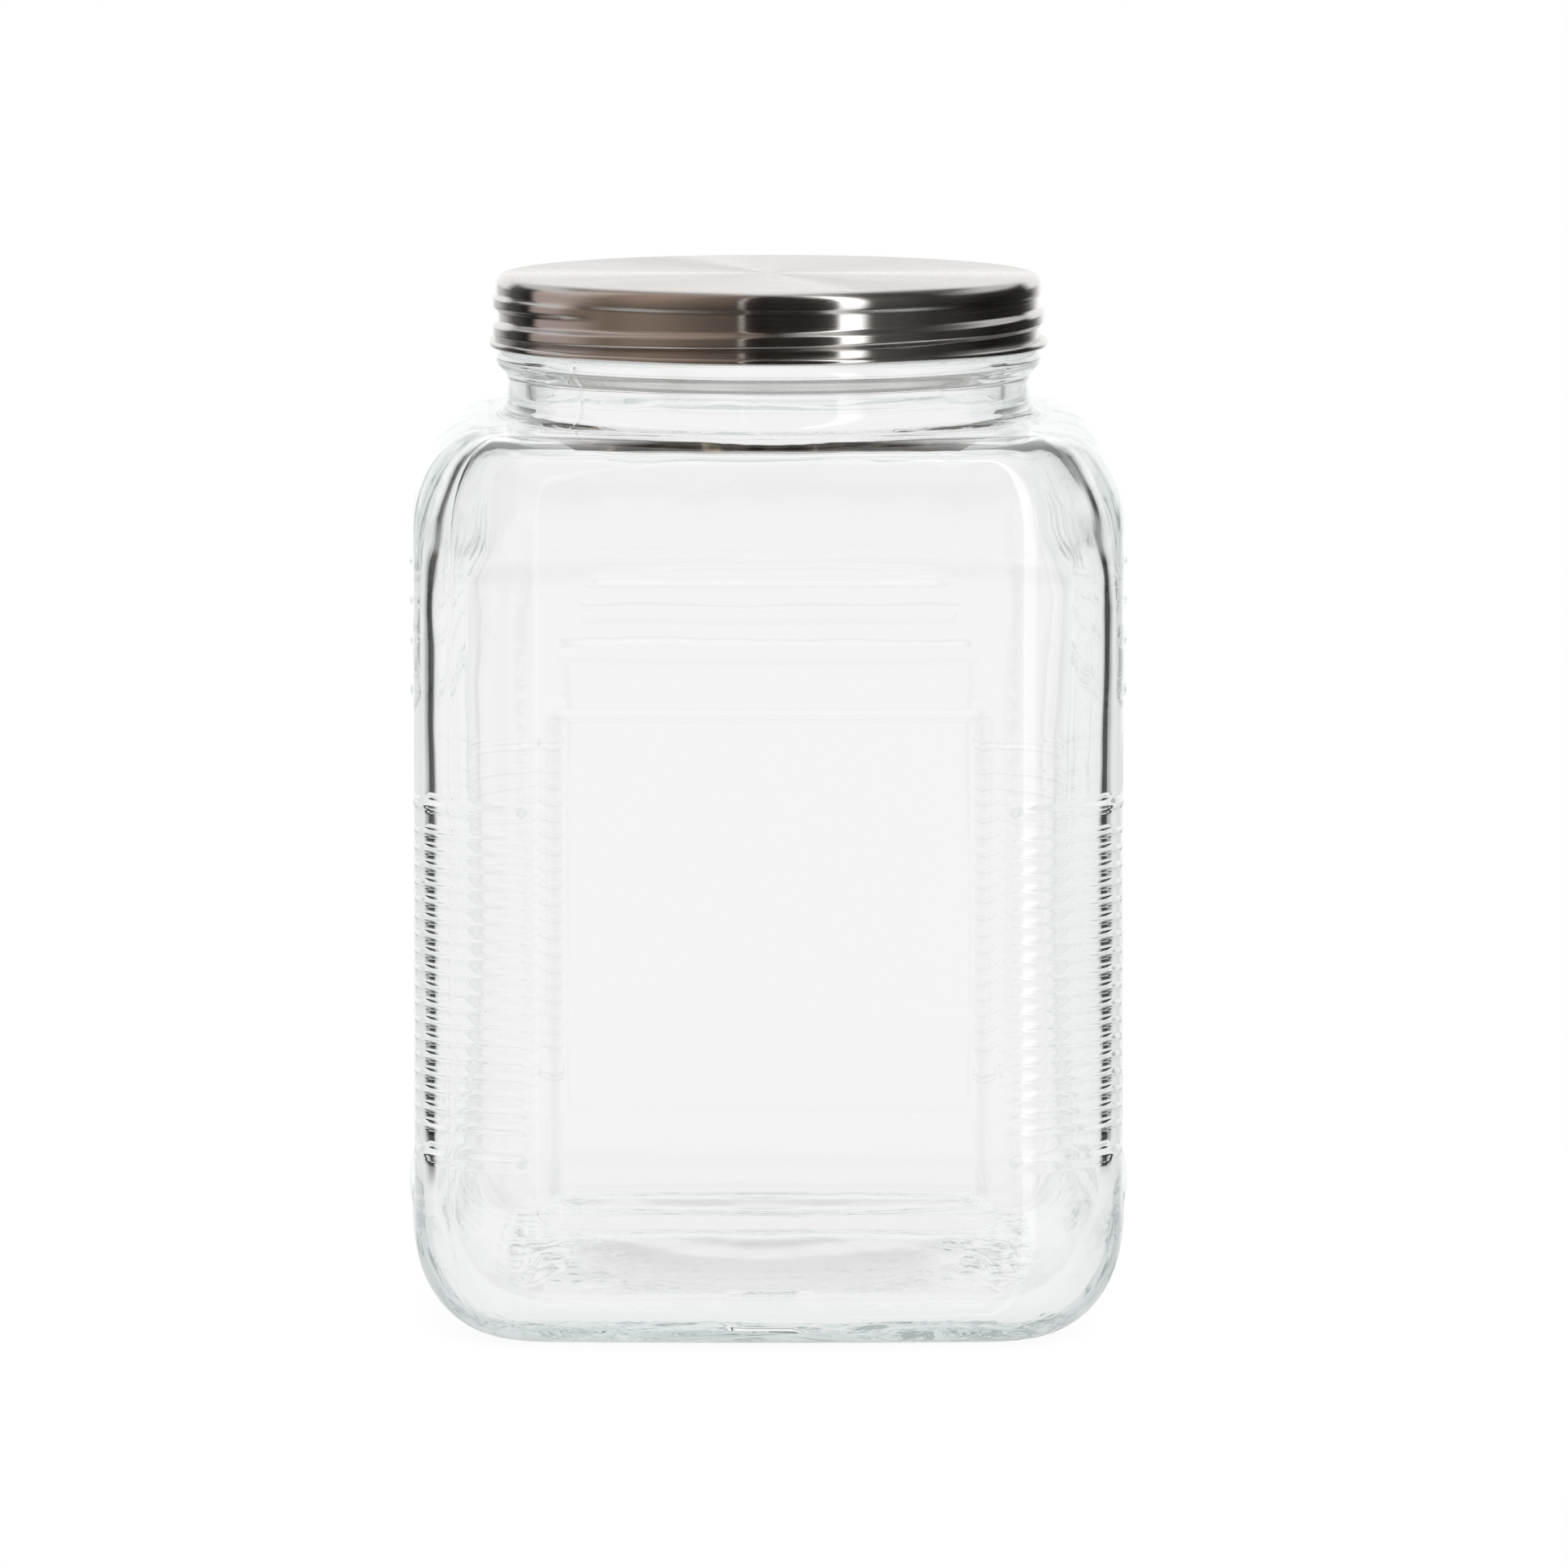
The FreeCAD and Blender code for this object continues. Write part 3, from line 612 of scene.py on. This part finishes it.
glassLook = {  # lengths and heights are in metres
    "ior": 1.52,
    "absorb": (0.52, 0.7, 0.67, 1.0),
    "density": 3.2,
    "shadow": (0.93, 0.95, 0.95, 1),
    "waves": (55.0, 0.25, 0.0004),  # fine unevenness: scale, strength and height of the bump
    "stipple": (230.0, 0.2, 0.0003),  # dots in the ring the jar stands on, likewise
    "stippleTop": (0.0006, 0.0012),  # heights between which the dots fade out
    "dot": (0.2, 0.42),  # where a dot starts and stops falling, from its middle
    "strayDots": 0.35,
    "turnsBack": 6,  # how often light turns back inside before it is taken for caught and gets the painted glow
    "patches": 70.0,  # scale of the patches in the painted glow
    # colours of the painted glow that stands in for caught light
    "paintedCaughtGlow": [(0.4, (0.5, 0.54, 0.53)), (0.47, (0.84, 0.85, 0.85)), (0.6, 0.93)],
    "darkEdge": (0.1535, 0.1612),  # heights between which a dark reflection is painted on the bore's lower edge
    "darkSoft": 0.0003,
    "darkReach": 0.06,  # how far out from the axis it does
    "darkFacing": (0.62, 0.8),  # how squarely outwards it has to be seen
    "darkMirror": 0.97,  # how much of the light has to turn back
    "paintedDarkStreaks": 160.0,  # scale of the streaks in the painted dark reflection
    # colours of the painted dark reflection, a glow
    "paintedDark": [(0.35, (0.02, 0.016, 0.013)), (0.55, (0.06, 0.05, 0.04)), (0.7, (0.35, 0.29, 0.22))],
}


def glassNormal(tree, spot, height, look):
    # uneven all over, with dots where the jar stands
    scale, strength, distance = look["waves"]
    waves = node(tree, "ShaderNodeBump", Strength=strength, Distance=distance,
                 Height=cloud(tree, spot, scale, 2.0, 0.4))
    scale, strength, distance = look["stipple"]
    cells = node(tree, "ShaderNodeTexVoronoi", Vector=spot, Scale=scale,
                 Randomness=look["strayDots"])
    dots = product(tree, spread(tree, cells.outputs["Distance"], look["dot"], (1.0, 0.0)),
                   spread(tree, height, look["stippleTop"], (1.0, 0.0)))
    return node(tree, "ShaderNodeBump", Strength=strength, Distance=distance, Height=dots,
                Normal=waves.outputs["Normal"]).outputs["Normal"]


def paintedDarkShare(tree, spot, height, depth, look):
    # where a dark reflection is painted on the bore's lower edge, standing in for the dark of the
    # room
    # mirrored there: light turns back at it for the first time, and it is seen from its own side
    # of the jar
    flat, radius = fromAxis(tree, spot)
    mirror = node(tree, "ShaderNodeFresnel", IOR=look["ior"]).outputs[0]
    outward = node(tree, "ShaderNodeVectorMath", "NORMALIZE", _0=flat).outputs["Vector"]
    back = node(tree, "ShaderNodeNewGeometry").outputs["Incoming"]
    facing = node(tree, "ShaderNodeVectorMath", "DOT_PRODUCT", _0=outward, _1=back)
    low, high = look["darkEdge"]
    soft = look["darkSoft"]
    return product(tree, spread(tree, height, (low, low + soft)),
                   spread(tree, height, (high, high + soft), (1.0, 0.0)),
                   mathNode(tree, "LESS_THAN", radius, look["darkReach"]),
                   mathNode(tree, "GREATER_THAN", mirror, look["darkMirror"]),
                   mathNode(tree, "LESS_THAN", depth, 0.5),
                   spread(tree, facing.outputs["Value"], look["darkFacing"]))


def glassMaterial(look):
    material, tree = newMaterial("clear_glass")
    spot = node(tree, "ShaderNodeTexCoord").outputs["Object"]
    height = node(tree, "ShaderNodeSeparateXYZ", Vector=spot).outputs["Z"]
    path = node(tree, "ShaderNodeLightPath").outputs
    depth = path["Glossy Depth"]
    glass = node(tree, "ShaderNodeBsdfPrincipled", Base_Color=(1, 1, 1, 1), Roughness=0.0,
                 IOR=look["ior"], Transmission_Weight=1.0,
                 Normal=glassNormal(tree, spot, height, look)).outputs[0]
    # painted light: light caught in the wall is not traced further but ends in a pale glow,
    # painted in patches
    paintedCaughtGlow = mathNode(tree, "GREATER_THAN", depth, look["turnsBack"] + 0.5)
    paintedPaleGlow = ramp(tree, cloud(tree, spot, look["patches"], 3.0, 0.6), look["paintedCaughtGlow"])
    body = mixShader(tree, paintedCaughtGlow, glass, glow(tree, paintedPaleGlow))
    # painted reflection: a dark streaked glow where the bore's lower edge mirrors the room's dark
    paintedDark = ramp(tree, cloud(tree, spot, look["paintedDarkStreaks"], 2.0), look["paintedDark"])
    body = mixShader(tree, paintedDarkShare(tree, spot, height, depth, look), body, glow(tree, paintedDark))
    clear = node(tree, "ShaderNodeBsdfTransparent", Color=look["shadow"]).outputs[0]
    volume = node(tree, "ShaderNodeVolumeAbsorption", Color=look["absorb"],
                  Density=look["density"]).outputs[0]
    node(tree, "ShaderNodeOutputMaterial", Volume=volume,
         Surface=mixShader(tree, path["Is Shadow Ray"], body, clear))
    return material


steelLook = {
    "color": (0.66, 0.645, 0.63, 1),
    "skirt": 0.17,  # roughness of the upright skirt
    "top": 0.25,  # and of the level top
    "turnover": (0.5, 0.95),  # how level the steel is where one becomes the other
    "brushing": (3.0, 3500.0, 3500.0),  # long round the axis, fine across it
    "grain": (0.35, 0.00002),  # strength of the brushing, and its height in metres
    "grainRough": (-0.04, 0.06),  # what the brushing adds to the roughness
}


def steelMaterial(look):
    material, tree = newMaterial("brushed_steel")
    spot = node(tree, "ShaderNodeTexCoord").outputs["Object"]
    axis = node(tree, "ShaderNodeSeparateXYZ", Vector=spot).outputs
    angle = mathNode(tree, "ARCTAN2", axis["Y"], axis["X"])
    turned = node(tree, "ShaderNodeCombineXYZ", X=angle, Y=fromAxis(tree, spot)[1], Z=axis["Z"])
    stretched = node(tree, "ShaderNodeVectorMath", "MULTIPLY", _0=turned.outputs[0],
                     _1=look["brushing"])
    grain = cloud(tree, stretched.outputs[0], 1.0, 3.0, 0.6)
    normal = node(tree, "ShaderNodeNewGeometry").outputs["Normal"]
    level = node(tree, "ShaderNodeSeparateXYZ", Vector=normal).outputs["Z"]
    plain = spread(tree, level, look["turnover"], (look["skirt"], look["top"]))
    rough = mathNode(tree, "ADD", plain, spread(tree, grain, (0.3, 0.7), look["grainRough"]))
    strength, distance = look["grain"]
    relief = node(tree, "ShaderNodeBump", Strength=strength, Distance=distance, Height=grain)
    tangent = node(tree, "ShaderNodeVectorMath", "CROSS_PRODUCT", _0=(0, 0, 1), _1=spot)
    steel = node(tree, "ShaderNodeBsdfPrincipled", Base_Color=look["color"], Metallic=1.0,
                 Roughness=rough, Anisotropic=1.0, Anisotropic_Rotation=0.25,
                 Normal=relief.outputs["Normal"], Tangent=tangent.outputs[0])
    node(tree, "ShaderNodeOutputMaterial", Surface=steel.outputs[0])
    return material


def coat(piece, material):
    piece.data.materials.clear()
    piece.data.materials.append(material)


coat(jarGlass, glassMaterial(glassLook))
coat(lidSteel, steelMaterial(steelLook))
print("materials done")

# studio: a round white floor, a pale room and one lamp
floorForm = {
    "radius": 0.25,
    "sides": 96,
    "under": 0.00002,  # how far below the jar it lies
    "matt": (0.9, 0.9, 0.9, 1),
    "keep": 0.2,  # share of the matt white in what is seen, which takes the shadow
    "glow": 1.05,
}


def floorMaterial(form):
    material, tree = newMaterial("white_floor")
    path = node(tree, "ShaderNodeLightPath").outputs
    matt = node(tree, "ShaderNodeBsdfDiffuse", Color=form["matt"]).outputs[0]
    seen = mathNode(tree, "MAXIMUM", path["Is Camera Ray"], path["Is Glossy Ray"])
    seen = mathNode(tree, "MAXIMUM", seen, path["Is Transmission Ray"])
    bright = glow(tree, (1, 1, 1, 1), form["glow"])
    node(tree, "ShaderNodeOutputMaterial",
         Surface=mixShader(tree, product(tree, seen, 1 - form["keep"]), matt, bright))
    return material


def buildFloor(form):
    bm = bmesh.new()
    bmesh.ops.create_circle(bm, cap_ends=True, radius=form["radius"],
                            segments=form["sides"])
    mesh = bpy.data.meshes.new("floor")
    bm.to_mesh(mesh)
    bm.free()
    floor = bpy.data.objects.new("floor", mesh)
    floor.location.z = -form["under"]
    bpy.context.scene.collection.objects.link(floor)
    coat(floor, floorMaterial(form))
    floor.visible_glossy = False
    floor.visible_transmission = False


# Along a rise, 0 is straight down, 0.5 level and 1 straight up.
roomForm = {
    # straight through the glass: white, a little less to the sides and above
    "beside": [(0.0, 0.86), (0.55, 0.89), (0.9, (0.965, 0.955, 0.957))],
    "above": [(0.482, 1.0), (0.5, 0.95), (0.512, 0.96), (0.53, 1.03)],
    # turned back once inside the glass: pale, with a dark upright in each of four corners
    "corners": [(0.0, (0.008, 0.007, 0.006)), (0.016, (0.012, 0.011, 0.01)),
                (0.045, (0.4, 0.44, 0.43)), (0.16, (0.8, 0.82, 0.82)), (0.4, (0.96, 0.97, 0.97))],
    "cornerRise": [(0.435, 0.0), (0.458, 1.0), (0.58, 1.0), (0.66, 0.0)],
    "sky": [(0.0, 0.95), (0.6, (0.93, 0.94, 0.94)), (0.64, (0.2, 0.21, 0.21)),
            (0.78, (0.25, 0.26, 0.26)), (0.84, 0.95)],
    # turned back more often: pale, in patches, and grey overhead
    "patchScale": 4.0,
    "patches": [(0.38, (0.6, 0.62, 0.62)), (0.43, (0.92, 0.93, 0.93)), (0.6, 0.98)],
    "overhead": [(0.56, 1.0), (0.6, (0.3, 0.33, 0.33)), (0.8, (0.35, 0.38, 0.38)), (0.88, 1.0)],
    # off the lid and off the outside of the glass, once round the room from the front
    "walls": [
        (0.0, (0.012, 0.009, 0.007)), (0.0285, (0.03, 0.02, 0.016)),
        (0.0305, (1.1, 1.05, 0.97)),  # a bright strip
        (0.033, (0.08, 0.06, 0.05)), (0.05, (0.15, 0.115, 0.09)), (0.16, (0.32, 0.24, 0.19)),
        (0.2, (0.27, 0.2, 0.155)), (0.27, (0.56, 0.46, 0.41)), (0.32, (0.56, 0.46, 0.42)),
        (0.335, (0.012, 0.012, 0.01)), (0.385, (0.1, 0.1, 0.095)),
        (0.44, 0.75), (0.465, 1.16), (0.54, 1.16),  # the back
        (0.6, (0.03, 0.03, 0.028)), (0.7, (0.006, 0.006, 0.005)), (0.78, (0.04, 0.038, 0.034)),
        (0.855, (0.09, 0.083, 0.077)), (0.877, (0.13, 0.12, 0.11)),
        (0.893, (2.5, 2.47, 2.44)), (0.913, (2.5, 2.47, 2.44)),  # the window
        (0.919, (0.05, 0.045, 0.04)), (0.96, (0.022, 0.018, 0.015)),
    ],
    "slope": [(0.25, 0.35), (0.43, 0.5), (0.475, 0.9), (0.56, 1.1), (0.7, 1.25)],
    "ceiling": [(0.6, 0.0), (0.635, 0.75), (0.7, 0.7), (0.76, 0.13)],
    "ceilingBack": (-0.1, 0.35),  # how far towards the back the ceiling fades in
    "backdrop": (1.03, 1.03, 1.03, 1),  # a white sheet behind the jar
    "backdropRise": [(0.495, 0.0), (0.51, 1.0), (0.58, 1.0), (0.62, 0.0)],
    "backdropBack": (0.74, 0.85),
}


def buildRoom(form):
    world = bpy.data.worlds.new("room")
    bpy.context.scene.world = world
    world.use_nodes = True
    tree = world.node_tree
    tree.nodes.clear()
    path = node(tree, "ShaderNodeLightPath").outputs
    way = node(tree, "ShaderNodeTexCoord").outputs["Generated"]
    axis = node(tree, "ShaderNodeSeparateXYZ", Vector=way).outputs
    bearing = mathNode(tree, "ARCTAN2", axis["X"], axis["Y"])
    rise = spread(tree, mathNode(tree, "ARCSINE", axis["Z"]), (-math.pi / 2, math.pi / 2))
    # straight through the glass
    beside = ramp(tree, fold(tree, bearing, 8.0), form["beside"])
    through = blend(tree, "MULTIPLY", 1.0, beside, ramp(tree, rise, form["above"]))
    # turned back once, and more often
    corners = ramp(tree, fold(tree, bearing, 4.0), form["corners"])
    once = blend(tree, "MIX", ramp(tree, rise, form["cornerRise"]),
                 ramp(tree, rise, form["sky"]), corners)
    patches = ramp(tree, cloud(tree, way, form["patchScale"], 2.0), form["patches"])
    often = blend(tree, "MULTIPLY", 1.0, patches, ramp(tree, rise, form["overhead"]))
    twice = mathNode(tree, "GREATER_THAN", path["Glossy Depth"], 1.5)
    bounced = blend(tree, "MIX", twice, once, often)
    # off the outside
    walls = ramp(tree, spread(tree, bearing, (-math.pi, math.pi)), form["walls"])
    shaded = blend(tree, "MULTIPLY", 1.0, walls, ramp(tree, rise, form["slope"]))
    lofty = blend(tree, "LIGHTEN", spread(tree, axis["Y"], form["ceilingBack"]), shaded,
                  ramp(tree, rise, form["ceiling"]))
    lit = product(tree, ramp(tree, rise, form["backdropRise"]),
                  spread(tree, axis["Y"], form["backdropBack"]))
    room = blend(tree, "MIX", lit, lofty, form["backdrop"])
    mirrored = mathNode(tree, "GREATER_THAN", path["Glossy Depth"], 0.5)
    inside = blend(tree, "MIX", mirrored, through, bounced)
    outside = blend(tree, "MIX", mirrored, (1, 1, 1, 1), room)
    inGlass = mathNode(tree, "GREATER_THAN", path["Transmission Depth"], 0.5)
    color = blend(tree, "MIX", inGlass, outside, inside)
    background = node(tree, "ShaderNodeBackground", Color=color, Strength=1.0)
    node(tree, "ShaderNodeOutputWorld", Surface=background.outputs[0])


lampForm = {
    "bearing": 37.5,  # degrees from the front towards +X
    "lift": 36.0,  # degrees above level
    "away": 1.4,
    "width": 0.24,
    "height": 0.9,
    "power": 8.0,
}


def buildLamp(form, aim):
    # lights the object, and isn't seen in the steel or through the glass
    turn = math.radians(form["bearing"])
    lift = math.radians(form["lift"])
    way = Vector((math.sin(turn) * math.cos(lift), -math.cos(turn) * math.cos(lift),
                  math.sin(lift)))
    lamp = bpy.data.lights.new("key", "AREA")
    lamp.shape = "RECTANGLE"
    lamp.size = form["width"]
    lamp.size_y = form["height"]
    lamp.energy = form["power"]
    holder = bpy.data.objects.new("key", lamp)
    holder.location = aim + way * form["away"]
    holder.rotation_mode = "QUATERNION"
    holder.rotation_quaternion = way.to_track_quat("Z", "Y")
    bpy.context.scene.collection.objects.link(holder)
    holder.visible_glossy = False
    holder.visible_transmission = False


cameraForm = {
    "away": 2.35,
    "lift": 6.284,  # degrees above level
    "lens": 302.26,
    "aimRight": 0.00278,
    "aimUp": 0.00106,
}


def buildCamera(form, aim):
    lift = math.radians(form["lift"])
    back = Vector((0, -math.cos(lift), math.sin(lift)))
    camera = bpy.data.objects.new("camera", bpy.data.cameras.new("camera"))
    camera.data.lens = form["lens"]
    camera.location = aim + back * form["away"]
    up = Vector((0, math.sin(lift), math.cos(lift)))
    target = aim + Vector((form["aimRight"], 0, 0)) + up * form["aimUp"]
    camera.rotation_mode = "QUATERNION"
    camera.rotation_quaternion = (target - camera.location).to_track_quat("-Z", "Y")
    bpy.context.scene.collection.objects.link(camera)
    bpy.context.scene.camera = camera


middle = (cadBox[0] + cadBox[1]) / 2
buildFloor(floorForm)
buildRoom(roomForm)
buildLamp(lampForm, middle)
buildCamera(cameraForm, middle)
scene = bpy.context.scene
scene.view_settings.view_transform = "Standard"
scene.cycles.max_bounces = 32
scene.cycles.glossy_bounces = 16
scene.cycles.transmission_bounces = 32
print("studio done")
